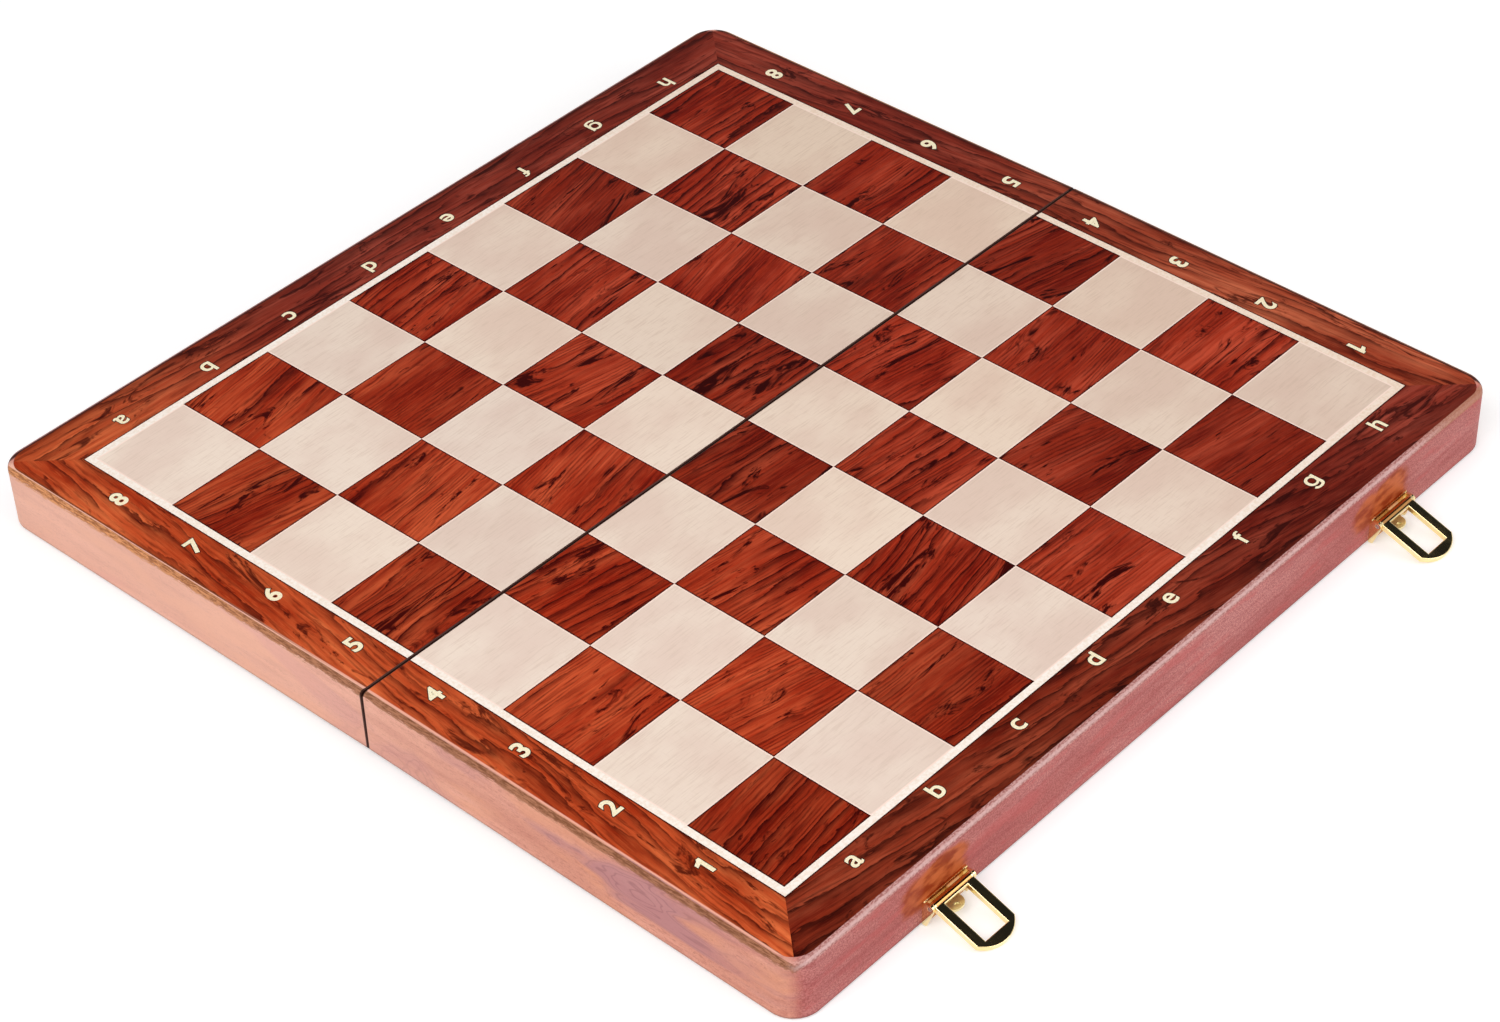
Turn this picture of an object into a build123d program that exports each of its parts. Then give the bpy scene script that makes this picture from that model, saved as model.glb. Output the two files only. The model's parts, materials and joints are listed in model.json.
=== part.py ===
from build123d import *
import math
import os

# Folding chess board, in millimetres.
# The board stands open on a table. X runs from the a-file to the h-file, Y from rank 1 to
# rank 8, Z up, and the origin is the middle of the seam at table height.

# Playing field
square = 42.0
files = 8
ranks_per_half = 4
stringing_width = 3.0
side_border_width = 20.0
end_border_width = 21.9

# Solid rails
outer_lip = 2.4
outer_lip_flat = 0.5
seam_lip = 0.4
rail_height = 26.5
rail_thickness = 10.0
corner_radius = 11.0
bottom_round = 1.5
seam_chamfer = 0.25
flat_seam_gap = 0.3

# Sheets and lining
veneer_thickness = 0.6
core_thickness = 3.4
lining_thickness = 1.0

# Fitted tray
tray_recess = 2.0
tray_side_gap = 0.3
slot_width = 30.0
slot_length = 84.0
bay_length = 52.0
well_corner_radius = 4.0
bay_end_wall = 14.0

# Hinges
hinge_offset = 110.0
hinge_length = 30.0
barrel_radius = 1.5
hinge_pin_radius = 0.7
pin_clearance = 0.05
rim_drop = 0.1
leaf_thickness = 1.2
leaf_inner_margin = 1.0
barrel_gap = 0.25
leaf_fit = 0.05
knuckles = 5
knuckle_gap = 0.15
hinge_screw_spacing = 18.0

# Screws
screw_shank_radius = 1.0
screw_head_radius = 1.9
screw_head_height = 0.9
screw_length = 7.0
screw_fit = 0.05
slot_cut_width = 0.5
slot_cut_depth = 0.4

# Loop latches on the rank 1 rail
latch_left_x = -122.0
latch_right_x = 127.0
base_width = 21.7
base_height = 10.6
base_thickness = 0.9
base_rise = 0.4
ear_thickness = 1.1
ear_foot = 1.8
pivot_height = 9.0
pivot_out = 3.2
latch_barrel_radius = 1.6
latch_pin_radius = 0.8
loop_end_gap = 0.15
loop_length = 24.0
loop_side_length = 19.4
loop_thickness = 2.4
arm_width = 3.9
window_start = 2.0
window_end = 19.7
loop_edge_round = 0.4
tongue_width = 8.0
tongue_length = 7.5
tongue_rise = 3.9
tongue_tip_flat = 1.0
dimple_radius = 0.9
dimple_depth = 0.4
dimple_edge = 1.8
latch_screw_spacing = 13.4
latch_screw_rise = 5.2

# Strikes on the rank 8 rail
strike_width = 18.6
strike_bottom = 2.6
strike_height = 9.0
strike_lug_width = 8.0
strike_lug_reach = 5.6
strike_lug_height = 5.2
strike_lug_tip = 2.4
strike_loop_gap = 0.5

# How far a cut runs past the face that it opens
cut_margin = 1.0

# Derived places. Depth is the distance from the seam plane and height is from the hinge pins' axis.
half_width = files * square / 2 + stringing_width + side_border_width + outer_lip
half_depth = ranks_per_half * square + stringing_width + end_border_width + outer_lip
seam_face = flat_seam_gap / 2
rim = rim_drop
top = rim + rail_height
veneer_bottom = top - veneer_thickness
core_bottom = veneer_bottom - core_thickness
lining_bottom = core_bottom - lining_thickness
tray_bottom = rim + tray_recess
field_edge = files * square / 2
field_depth = ranks_per_half * square
top_round = outer_lip - outer_lip_flat
veneer_corner = corner_radius - outer_lip
inner_x = half_width - rail_thickness
inner_near = seam_face + rail_thickness
inner_far = half_depth - rail_thickness
loop_width = base_width - 2 * ear_thickness - 2 * loop_end_gap

# Each half leans down from the pins to its outer bottom edge, because the knuckles lift the seam.
pin_height = barrel_radius
lean = math.asin((pin_height + rim) / (half_depth - bottom_round))

FRONT = -1
BACK = 1
made = {}


def group(shapes):
    """Separate solids that one node holds."""
    return Compound([solid for shape in shapes for solid in shape.solids()])


def keep(name, shape):
    made[name] = shape


def block(x0, x1, near, far, low, high, side):
    """A block between two x, two depths on one side of the seam, and two heights."""
    size = Box(x1 - x0, far - near, high - low)
    return Pos((x0 + x1) / 2, side * (near + far) / 2, (low + high) / 2) * size


def prism(outline, low, high, side):
    """An upright prism over an outline of x and depth."""
    corners = [(x, side * depth) for x, depth in outline]
    face = make_face(Polyline(*corners, close=True))
    return Pos(0, 0, low) * extrude(face, amount=high - low, dir=(0, 0, 1))


def outer_edges(face, side):
    """The edges of a level face, without the one along the seam."""
    return [edge for edge in face.edges() if edge.center().Y * side > seam_face + square / 2]


def blank(inset, near, low, high, radius, side):
    """A slab of one half with its two outer vertical corners rounded."""
    slab = block(-half_width + inset, half_width - inset, near, half_depth - inset, low, high, side)
    uprights = [edge for edge in slab.edges().filter_by(Axis.Z) if edge.center().Y * side > half_depth / 2]
    return fillet(uprights, radius)


def strips(x, far, side_width, end_width, near, seam_strip):
    """Plan outlines of a mitred frame inside x and far, keyed by place.

    A seam strip closes the frame's fourth side.
    """
    inner = x - side_width
    turn = end_width if seam_strip else 0
    outlines = {
        "outer": [(-x, far), (x, far), (inner, far - end_width), (-inner, far - end_width)],
        "left": [(-x, near), (-x, far), (-inner, far - end_width), (-inner, near + turn)],
        "right": [(x, near), (x, far), (inner, far - end_width), (inner, near + turn)],
    }
    if seam_strip:
        outlines["seam"] = [(-x, near), (x, near), (inner, near + turn), (-inner, near + turn)]
    return outlines


def screw(clearance=0.0, slotted=True):
    """A countersunk wood screw pointing down, with the top of its head at the origin."""
    grow = clearance
    head = Pos(0, 0, -screw_head_height / 2) * Cone(
        screw_shank_radius + grow, screw_head_radius + grow, screw_head_height
    )
    length = screw_length - screw_head_height + grow
    shank = Pos(0, 0, -screw_head_height - length / 2) * Cylinder(screw_shank_radius + grow, length)
    body = head + shank
    if slotted:
        body -= Pos(0, 0, -slot_cut_depth / 2) * Box(2 * screw_head_radius, slot_cut_width, slot_cut_depth)
    return body


def rim_screw_places():
    """Where each hinge's two screws go, as x and depth."""
    depth = (barrel_radius + barrel_gap + rail_thickness - leaf_inner_margin) / 2 + seam_face
    places = []
    for hinge in (-hinge_offset, hinge_offset):
        for step in (-0.5, 0.5):
            places.append((hinge + step * hinge_screw_spacing, depth))
    return places


def rim_screw(x, depth, side, **form):
    """A screw driven up into the rim."""
    return Pos(x, side * depth, rim) * Rot(X=180) * screw(**form)


def face_screw(x, out, height, side, **form):
    """A screw driven into the outer face, with its head a set distance out from it."""
    turned = Rot(X=90 if side == FRONT else -90) * screw(**form)
    return Pos(x, side * (half_depth + out), height) * turned


def latch_screw_places():
    places = []
    for latch in (latch_left_x, latch_right_x):
        for step in (-0.5, 0.5):
            places.append((latch + step * latch_screw_spacing, rim + latch_screw_rise))
    return places


def strike_screw_places():
    height = rim + strike_bottom + strike_height / 2
    places = []
    for latch in (latch_left_x, latch_right_x):
        for step in (-0.5, 0.5):
            places.append((latch + step * latch_screw_spacing, height))
    return places


def outside(side):
    """The filled outer shape of one half, with its outer edges rounded."""
    shape = blank(0, seam_face, rim, top, corner_radius, side)
    levels = shape.faces().filter_by(Axis.Z).sort_by(Axis.Z)
    shape = fillet(outer_edges(levels[-1], side), top_round)
    levels = shape.faces().filter_by(Axis.Z).sort_by(Axis.Z)
    return fillet(outer_edges(levels[0], side), bottom_round)


def rails(side, name):
    """Four mitred rails, cut from one rounded frame and rebated for the veneered panel."""
    frame = outside(side)
    seam_edge = frame.faces().filter_by(Axis.Y).sort_by(lambda face: abs(face.center().Y))[0].edges()
    frame = chamfer(seam_edge, seam_chamfer)
    low = rim - cut_margin
    high = top + cut_margin
    frame -= block(-inner_x, inner_x, inner_near, inner_far, low, core_bottom + cut_margin, side)
    frame -= blank(outer_lip, seam_face + seam_lip, core_bottom, high, veneer_corner, side)
    outlines = strips(half_width, half_depth, rail_thickness, rail_thickness, seam_face, True)
    for place, outline in outlines.items():
        rail = frame & prism(outline, low, high, side)
        if place == "seam":
            rail = cut_for_hinges(rail, side)
        if place == "outer":
            rail = cut_for_face_screws(rail, side)
        label = f"{name}_rail" if place == "outer" else f"{name}_{place}_rail"
        keep(label, rail)


def cut_for_hinges(rail, side):
    """Mortises for the leaves, notches for the knuckles and holes for the screws."""
    reach = barrel_radius + barrel_gap
    for hinge in (-hinge_offset, hinge_offset):
        start = hinge - hinge_length / 2 - leaf_fit
        end = hinge + hinge_length / 2 + leaf_fit
        leaf_end = seam_face + rail_thickness - leaf_inner_margin + leaf_fit
        rail -= block(start, end, 0, leaf_end, rim - cut_margin, rim + leaf_thickness, side)
        rail -= block(start, end, 0, reach, rim - cut_margin, reach, side)
    for x, depth in rim_screw_places():
        rail -= rim_screw(x, depth, side, clearance=screw_fit, slotted=False)
    return rail


def cut_for_face_screws(rail, side):
    places = latch_screw_places() if side == FRONT else strike_screw_places()
    for x, height in places:
        rail -= face_screw(x, base_thickness, height, side, clearance=screw_fit, slotted=False)
    return rail


def panel(side, name):
    """The core board under the veneers."""
    near = seam_face + seam_lip
    keep(f"{name}_core_panel", blank(outer_lip, near, core_bottom, veneer_bottom, veneer_corner, side))


def squares(side, name):
    """Square veneers in two woods, dark on a1, with the rank at the seam trimmed by its lip."""
    solids = {"dark": [], "light": []}
    for file in range(files):
        for row in range(ranks_per_half):
            rank = ranks_per_half + row if side == BACK else ranks_per_half - 1 - row
            wood = "dark" if (file + rank) % 2 == 0 else "light"
            x0 = file * square - field_edge
            near = max(row * square, seam_face + seam_lip)
            far = (row + 1) * square
            tile = block(x0, x0 + square, near, far, veneer_bottom, top, side)
            solids[wood].append(tile)
    for wood, tiles in solids.items():
        keep(f"{name}_{wood}_squares", group(tiles))


def stringing(side, name):
    """Three mitred light strips round the field."""
    near = seam_face + seam_lip
    x = field_edge + stringing_width
    outlines = strips(x, field_depth + stringing_width, stringing_width, stringing_width, near, False)
    lines = [prism(outline, veneer_bottom, top, side) for outline in outlines.values()]
    keep(f"{name}_stringing", group(lines))


def border(side, name):
    """Three mitred border veneers, whose outer corners follow the rounded edge."""
    near = seam_face + seam_lip
    sheet = blank(outer_lip, near, veneer_bottom, top, veneer_corner, side) & outside(side)
    x = half_width - outer_lip
    outlines = strips(x, half_depth - outer_lip, side_border_width, end_border_width, near, False)
    for place, outline in outlines.items():
        label = f"{name}_border" if place == "outer" else f"{name}_{place}_border"
        keep(label, sheet & prism(outline, veneer_bottom - cut_margin, top + cut_margin, side))


def lining(side, name):
    sheet = block(-inner_x, inner_x, inner_near, inner_far, lining_bottom, core_bottom, side)
    keep(f"{name}_lining", sheet)


def wells():
    """Plan boxes of the tray's wells: a slot for each large man and one bay for the pawns."""
    pitch = 2 * inner_x / files
    spare = inner_far - inner_near - slot_length - bay_length
    wall = spare / 3
    slot_near = inner_near + wall
    bay_near = slot_near + slot_length + wall
    places = []
    for file in range(files):
        middle = (file + 0.5) * pitch - inner_x
        slot_start = middle - slot_width / 2
        places.append((slot_start, slot_start + slot_width, slot_near, slot_near + slot_length))
    bay_x = inner_x - bay_end_wall
    places.append((-bay_x, bay_x, bay_near, bay_near + bay_length))
    return places


def tray(side, name):
    """A die-cut foam tray against the lining, open to the rim and recessed behind it."""
    x = inner_x - tray_side_gap
    near = inner_near + tray_side_gap
    far = inner_far - tray_side_gap
    foam = block(-x, x, near, far, tray_bottom, lining_bottom, side)
    for x0, x1, well_near, well_far in wells():
        low = tray_bottom - cut_margin
        high = lining_bottom + cut_margin
        well = block(x0, x1, well_near, well_far, low, high, side)
        foam -= fillet(well.edges().filter_by(Axis.Z), well_corner_radius)
    keep(f"{name}_tray", foam)


def knuckle_spans(side):
    """The stretches of x, from a hinge's middle, that the knuckles of one leaf take."""
    pitch = hinge_length / knuckles
    first = 0 if side == FRONT else 1
    spans = []
    for index in range(first, knuckles, 2):
        low = -hinge_length / 2 + index * pitch
        spans.append((low + knuckle_gap / 2, low + pitch - knuckle_gap / 2))
    return spans


def hinge_leaf(hinge, side):
    """A leaf let into the rim, whose webs carry every other knuckle of the barrel."""
    reach = barrel_radius + barrel_gap
    x0 = hinge - hinge_length / 2
    x1 = hinge + hinge_length / 2
    far = seam_face + rail_thickness - leaf_inner_margin
    leaf = block(x0, x1, reach, far, rim, rim + leaf_thickness, side)
    for low, high in knuckle_spans(side):
        leaf += block(hinge + low, hinge + high, 0, reach, rim, rim + leaf_thickness, side)
        barrel = Rot(Y=90) * Cylinder(barrel_radius, high - low)
        leaf += Pos(hinge + (low + high) / 2, 0, 0) * barrel
    leaf -= Pos(hinge, 0, 0) * Rot(Y=90) * Cylinder(hinge_pin_radius + pin_clearance, 2 * hinge_length)
    for x, depth in rim_screw_places():
        leaf -= rim_screw(x, depth, side, clearance=screw_fit, slotted=False)
    return leaf


def hinges(side, name):
    for place, hinge in (("left", -hinge_offset), ("right", hinge_offset)):
        keep(f"{name}_hinge_leaf_{place}", hinge_leaf(hinge, side))
        if side == FRONT:
            pin = Rot(Y=90) * Cylinder(hinge_pin_radius, hinge_length)
            keep(f"hinge_pin_{place}", Pos(hinge, 0, 0) * pin)
    screws = [rim_screw(x, depth, side) for x, depth in rim_screw_places()]
    keep(f"{name}_hinge_screws", group(screws))


def across(outline, x0, x1):
    """A prism along X over an outline of depth and height on the rank 1 side."""
    corners = [(0, -depth, height) for depth, height in outline]
    face = make_face(Polyline(*corners, close=True))
    return Pos(x0, 0, 0) * extrude(face, amount=x1 - x0, dir=(1, 0, 0))


def latch_base(x):
    """A plate on the rail's face, with an ear at each end that holds the pin and a tongue at its foot."""
    low = rim + base_rise
    face = half_depth
    outer = face + base_thickness
    plate = block(x - base_width / 2, x + base_width / 2, face, outer, low, low + base_height, FRONT)
    height = rim + pivot_height
    reach = face + pivot_out
    ear = [
        (face, low),
        (face + ear_foot, low),
        (reach + latch_barrel_radius, height),
        (face, height),
    ]
    for end in (-1, 1):
        middle = x + end * (base_width - ear_thickness) / 2
        start = middle - ear_thickness / 2
        stop = middle + ear_thickness / 2
        plate += across(ear, start, stop)
        plate += Pos(middle, -reach, height) * Rot(Y=90) * Cylinder(latch_barrel_radius, ear_thickness)
        plate += block(start, stop, face, reach, height, height + latch_barrel_radius, FRONT)
    plate += tongue(x)
    plate -= Pos(x, -reach, height) * Rot(Y=90) * Cylinder(latch_pin_radius + pin_clearance, 2 * base_width)
    for place, height in latch_screw_places():
        plate -= face_screw(place, base_thickness, height, FRONT, clearance=screw_fit, slotted=False)
    return plate


def tongue(x):
    """A round-ended tab that stands out from the base's foot, with a dimple near its tip."""
    low = rim + tongue_rise
    half = tongue_width / 2
    face = half_depth
    tab = block(x - half, x + half, face, face + tongue_length, low, low + base_thickness, FRONT)
    corners = [edge for edge in tab.edges().filter_by(Axis.Z) if edge.center().Y < -face - half]
    tab = fillet(corners, half - tongue_tip_flat / 2)
    dimple = Pos(x, -(face + tongue_length - dimple_edge), low + base_thickness)
    return tab - dimple * Cylinder(dimple_radius, 2 * dimple_depth)


def latch_loop():
    """A D-shaped loop that reaches out along -Y from a barrel on the X axis."""
    half = loop_width / 2
    corner_left = (-half, -loop_side_length)
    corner_right = (half, -loop_side_length)
    sides = Polyline(corner_left, (-half, 0), (half, 0), corner_right)
    end = ThreePointArc(corner_right, (0, -loop_length), corner_left)
    outline = make_face(Curve() + [sides, end])
    window_middle = -(window_start + window_end) / 2
    outline -= Pos(0, window_middle) * Rectangle(loop_width - 2 * arm_width, window_end - window_start)
    plate = extrude(outline, amount=loop_thickness / 2, both=True)
    edges = plate.faces().filter_by(Axis.Z).edges()
    plate = fillet(edges, loop_edge_round)
    barrel = Rot(Y=90) * Cylinder(latch_barrel_radius, loop_width)
    loop = plate + barrel
    loop -= Rot(Y=90) * Cylinder(latch_pin_radius + pin_clearance, 2 * loop_width)
    return loop


def loop_droop():
    """How far the loops hang below the half's own level when their tips rest on the table."""
    pivot_z = pin_height + (rim + pivot_height) * math.cos(lean) - (half_depth + pivot_out) * math.sin(lean)
    tip_run = loop_length - loop_edge_round
    tip_drop = loop_thickness / 2 - loop_edge_round
    below_level = math.asin((pivot_z - loop_edge_round) / math.hypot(tip_run, tip_drop))
    return below_level - math.atan2(tip_drop, tip_run) - lean


def latches():
    droop = math.degrees(loop_droop())
    for place, x in (("left", latch_left_x), ("right", latch_right_x)):
        pivot = Pos(x, -half_depth - pivot_out, rim + pivot_height)
        keep(f"latch_base_{place}", latch_base(x))
        keep(f"latch_pin_{place}", pivot * Rot(Y=90) * Cylinder(latch_pin_radius, base_width))
        keep(f"latch_loop_{place}", pivot * Rot(X=droop) * latch_loop())
    screws = [face_screw(x, base_thickness, height, FRONT) for x, height in latch_screw_places()]
    keep("latch_screws", group(screws))


def strike(x):
    """A plate with a sloped lug that the loop's window drops over when the board is shut."""
    low = rim + strike_bottom
    face = half_depth + base_thickness
    half = strike_width / 2
    plate = block(x - half, x + half, half_depth, face, low, low + strike_height, BACK)
    lug_top = window_end - strike_loop_gap - pivot_height - 2 * rim_drop
    lug_low = lug_top - strike_lug_height
    tip = half_depth + strike_lug_reach
    outline = [
        (face, rim + lug_low),
        (face + strike_lug_tip, rim + lug_low),
        (tip, rim + lug_top - strike_lug_tip),
        (tip, rim + lug_top),
        (face, rim + lug_top),
    ]
    profile = make_face(Polyline(*[(0, y, z) for y, z in outline], close=True))
    lug = Pos(x - strike_lug_width / 2, 0, 0) * extrude(profile, amount=strike_lug_width, dir=(1, 0, 0))
    plate += lug
    for place, height in strike_screw_places():
        plate -= face_screw(place, base_thickness, height, BACK, clearance=screw_fit, slotted=False)
    return plate


def strikes():
    for place, x in (("left", latch_left_x), ("right", latch_right_x)):
        keep(f"strike_{place}", strike(x))
    screws = [face_screw(x, base_thickness, height, BACK) for x, height in strike_screw_places()]
    keep("strike_screws", group(screws))


def half(side, name):
    rails(side, name)
    panel(side, name)
    squares(side, name)
    stringing(side, name)
    border(side, name)
    lining(side, name)
    tray(side, name)
    hinges(side, name)


def write_parts(side):
    """Leans one half's pieces about the pins, lifts them to standing height and writes them."""
    turn = math.degrees(lean) if side == FRONT else -math.degrees(lean)
    place = Pos(0, 0, pin_height) * Rot(X=turn)
    for name, shape in made.items():
        export_step(place * shape, f"parts/{name}.step")
    made.clear()


os.makedirs("parts", exist_ok=True)

half(FRONT, "front")
latches()
write_parts(FRONT)

half(BACK, "back")
strikes()
write_parts(BACK)

print("lean of each half, degrees:", round(math.degrees(lean), 4))
print("droop of the loops from their half's level, degrees:", round(math.degrees(loop_droop()), 4))
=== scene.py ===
import json
import math
import random

import bmesh
import bpy
from mathutils import Matrix, Vector


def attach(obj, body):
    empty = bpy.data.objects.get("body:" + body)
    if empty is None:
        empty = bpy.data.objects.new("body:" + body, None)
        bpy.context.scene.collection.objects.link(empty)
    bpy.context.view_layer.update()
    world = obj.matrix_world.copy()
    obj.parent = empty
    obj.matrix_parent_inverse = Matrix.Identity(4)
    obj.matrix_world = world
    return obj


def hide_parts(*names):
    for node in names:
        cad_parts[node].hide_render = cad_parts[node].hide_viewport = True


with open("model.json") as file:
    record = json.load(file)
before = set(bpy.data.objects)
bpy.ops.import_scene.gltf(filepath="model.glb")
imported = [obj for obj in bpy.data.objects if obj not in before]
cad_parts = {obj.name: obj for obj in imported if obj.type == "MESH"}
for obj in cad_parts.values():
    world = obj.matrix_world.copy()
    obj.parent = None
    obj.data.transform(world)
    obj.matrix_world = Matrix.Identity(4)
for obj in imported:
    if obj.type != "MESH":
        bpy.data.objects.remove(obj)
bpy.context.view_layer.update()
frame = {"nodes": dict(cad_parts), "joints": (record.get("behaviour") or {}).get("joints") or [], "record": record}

nodes = frame["nodes"]
mounts = {mount["name"]: mount for mount in frame["record"]["mounts"]}
joints = {joint["name"]: joint for joint in frame["joints"]}

MM = 0.001
SIDES = {"front": -1, "back": 1}

# The board's own sizes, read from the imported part
pin_height = joints["fold_hinge"]["pos_m"][2]
surface_normal = Vector(mounts["playing_surface_front"]["axis"]).normalized()
surface_point = Vector(mounts["playing_surface_front"]["pos_m"])
lean = math.atan2(abs(surface_normal.y), surface_normal.z)
surface_height = (surface_point - Vector((0, 0, pin_height))).dot(surface_normal)

# Camera, as the photograph was taken: place in metres, turn in degrees and lens in millimetres
camera_place = Vector((-0.7611, -0.7264, 0.8559))
camera_turn = (50.344, 1.848, -47.857)
camera_lens = 87.82

# Lamps, each with its name, place, width and length in metres, and power in watts
LAMPS = [
    ("key", (-1.3, -0.3, 1.45), (1.2, 1.2), 17),
    ("fill", (0.4, -1.5, 0.9), (1.4, 1.0), 8.5),
]
world_light = 0.55
floor_size = 6.0
floor_tone = 0.82
floor_glow = 0.34
WHITE = (1, 1, 1, 1)


def half_frame(side):
    """From a half's own axes, level on its pins, to where it stands."""
    return Matrix.Translation((0, 0, pin_height)) @ Matrix.Rotation(-side * lean, 4, "X")


def on_surface(x, y, lift=0.0):
    """Axes on the playing surface at x and a signed depth from the seam."""
    side = -1 if y < 0 else 1
    return half_frame(side) @ Matrix.Translation((x, y, surface_height + lift))


def level_box(node):
    """A node's lowest and highest corners in its half's own axes."""
    to_level = half_frame(SIDES[node.split("_")[0]]).inverted()
    corners = [to_level @ vertex.co for vertex in nodes[node].data.vertices]
    lowest = Vector([min(corner[axis] for corner in corners) for axis in range(3)])
    highest = Vector([max(corner[axis] for corner in corners) for axis in range(3)])
    return lowest, highest


half_width = -level_box("front_left_rail")[0].x
half_depth = -level_box("front_rail")[0].y
rail_height = level_box("front_rail")[1].z - level_box("front_rail")[0].z
edge_lip = half_width + level_box("front_left_border")[0].x
stringing_edge = level_box("front_stringing")[1].x
seam_edge = -level_box("front_stringing")[1].y
latch_places = [joints[f"latch_swing_{place}"]["pos_m"][0] for place in ("left", "right")]

# Sizes of the solids that their boxes don't give
stringing_width = 3.0 * MM
square = (stringing_edge - stringing_width) / 4
ear_half_span = 8.6 * MM
ear_reach = 4.6 * MM
tongue_half_width = 4.2 * MM
tongue_start = 2.6 * MM
tongue_end = 7.8 * MM
tongue_height = 5.0 * MM
tongue_top = level_box("front_rail")[0].z + tongue_height


class Tree:
    """Builds a node tree, with numbers or sockets as inputs."""

    def __init__(self, tree):
        self.tree = tree

    def node(self, kind, **settings):
        """A new node with its settings made."""
        made = self.tree.nodes.new(kind)
        for name, value in settings.items():
            setattr(made, name, value)
        return made

    def feed(self, value, socket):
        """Links a socket to an input, or sets the input to a number or colour."""
        if isinstance(value, bpy.types.NodeSocket):
            self.tree.links.new(value, socket)
        else:
            socket.default_value = value

    def fed(self, kind, values, **settings):
        """A new node's outputs, with its inputs fed in order."""
        made = self.node(kind, **settings)
        for value, socket in zip(values, made.inputs):
            self.feed(value, socket)
        return made.outputs

    def math(self, operation, *values, clamp=False):
        return self.fed("ShaderNodeMath", values, operation=operation, use_clamp=clamp)[0]

    def separate(self, vector):
        return self.fed("ShaderNodeSeparateXYZ", [vector])

    def ramp(self, value, low, high, start=0.0, end=1.0):
        """Maps a value from low..high smoothly to start..end, held at both ends."""
        values = (value, low, high, start, end)
        return self.fed("ShaderNodeMapRange", values, interpolation_type="SMOOTHSTEP", clamp=True)[0]

    def light_path(self):
        return self.node("ShaderNodeLightPath").outputs

    def background(self, level, strength):
        """A world colour of one grey level."""
        return self.fed("ShaderNodeBackground", [(level, level, level, 1), strength])[0]

    def mix_shaders(self, share, first, second):
        return self.fed("ShaderNodeMixShader", [share, first, second])[0]


class Graph(Tree):
    """The node tree of one new material."""

    def __init__(self, name):
        self.material = bpy.data.materials.new(name)
        self.material.use_nodes = True
        super().__init__(self.material.node_tree)
        self.shader = self.tree.nodes["Principled BSDF"]
        self.output = self.tree.nodes["Material Output"]

    def set(self, **values):
        """Sets the shader's own sockets by name, with underscores for spaces."""
        for name, value in values.items():
            self.feed(value, self.shader.inputs[name.replace("_", " ")])

    def vector(self, operation, *values):
        return self.fed("ShaderNodeVectorMath", values, operation=operation)[0]

    def combine(self, *values):
        return self.fed("ShaderNodeCombineXYZ", values)[0]

    def turn(self, vector, angle):
        """Turns a place about Z."""
        made = self.node("ShaderNodeVectorRotate", rotation_type="Z_AXIS")
        self.feed(vector, made.inputs["Vector"])
        self.feed(angle, made.inputs["Angle"])
        return made.outputs[0]

    def place(self):
        """Places in a piece's own axes, which stay with it as it moves."""
        return self.node("ShaderNodeTexCoord").outputs["Object"]

    def noise(self, vector, scale, detail=2.0, roughness=0.5, distortion=0.0):
        """Noise about 0.5, with a scale in cycles per metre for each axis."""
        made = self.node("ShaderNodeTexNoise")
        self.feed(self.vector("MULTIPLY", vector, scale), made.inputs["Vector"])
        made.inputs["Scale"].default_value = 1.0
        made.inputs["Detail"].default_value = detail
        made.inputs["Roughness"].default_value = roughness
        made.inputs["Distortion"].default_value = distortion
        return made.outputs["Fac"]

    def cells(self, vector):
        """Three steady random numbers for each whole place."""
        made = self.node("ShaderNodeTexWhiteNoise", noise_dimensions="3D")
        self.feed(vector, made.inputs["Vector"])
        return made.outputs["Color"]

    def band(self, value, low, high, soft):
        """1 between low and high, falling to 0 over a soft stretch outside them."""
        rise = self.ramp(value, low - soft, low)
        fall = self.ramp(value, high, high + soft, 1.0, 0.0)
        return self.math("MULTIPLY", rise, fall)

    def mix(self, share, first, second, blend="MIX"):
        """The first tone where the share is 0, and the second where it is 1."""
        made = self.node("ShaderNodeMix", data_type="RGBA", blend_type=blend)
        self.feed(share, made.inputs[0])
        self.feed(first, made.inputs[6])
        self.feed(second, made.inputs[7])
        return made.outputs[2]

    def shade(self, tone, amount):
        """Makes a tone lighter or darker by a factor."""
        return self.mix(1.0, tone, self.combine(amount, amount, amount), "MULTIPLY")

    def bump(self, height, strength, distance, normal=None):
        """A normal that follows a relief, whose full height is a distance in metres."""
        made = self.node("ShaderNodeBump")
        made.inputs["Strength"].default_value = strength
        made.inputs["Distance"].default_value = distance
        self.feed(height, made.inputs["Height"])
        if normal is not None:
            self.feed(normal, made.inputs["Normal"])
        return made.outputs["Normal"]

    def soft_edges(self, radius):
        """A normal that rounds sharp edges by a small radius."""
        made = self.node("ShaderNodeBevel", samples=4)
        made.inputs["Radius"].default_value = radius
        return made.outputs["Normal"]


def colour(red, green, blue):
    """A linear colour from one written as screen values of 0 to 255."""
    linear = []
    for value in (red, green, blue):
        share = value / 255
        linear.append(share / 12.92 if share <= 0.04045 else ((share + 0.055) / 1.055) ** 2.4)
    return (*linear, 1.0)


def board_place(graph):
    """x, distance from the seam, height over the pins and side, as if each half lay level."""
    x, y, z = graph.separate(graph.place())
    away = graph.math("ABSOLUTE", y)
    raised = graph.math("SUBTRACT", z, pin_height)
    depth = graph.math("SUBTRACT", graph.math("MULTIPLY", away, math.cos(lean)),
                       graph.math("MULTIPLY", raised, math.sin(lean)))
    height = graph.math("ADD", graph.math("MULTIPLY", away, math.sin(lean)),
                        graph.math("MULTIPLY", raised, math.cos(lean)))
    return x, depth, height, graph.math("SIGN", y)


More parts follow.
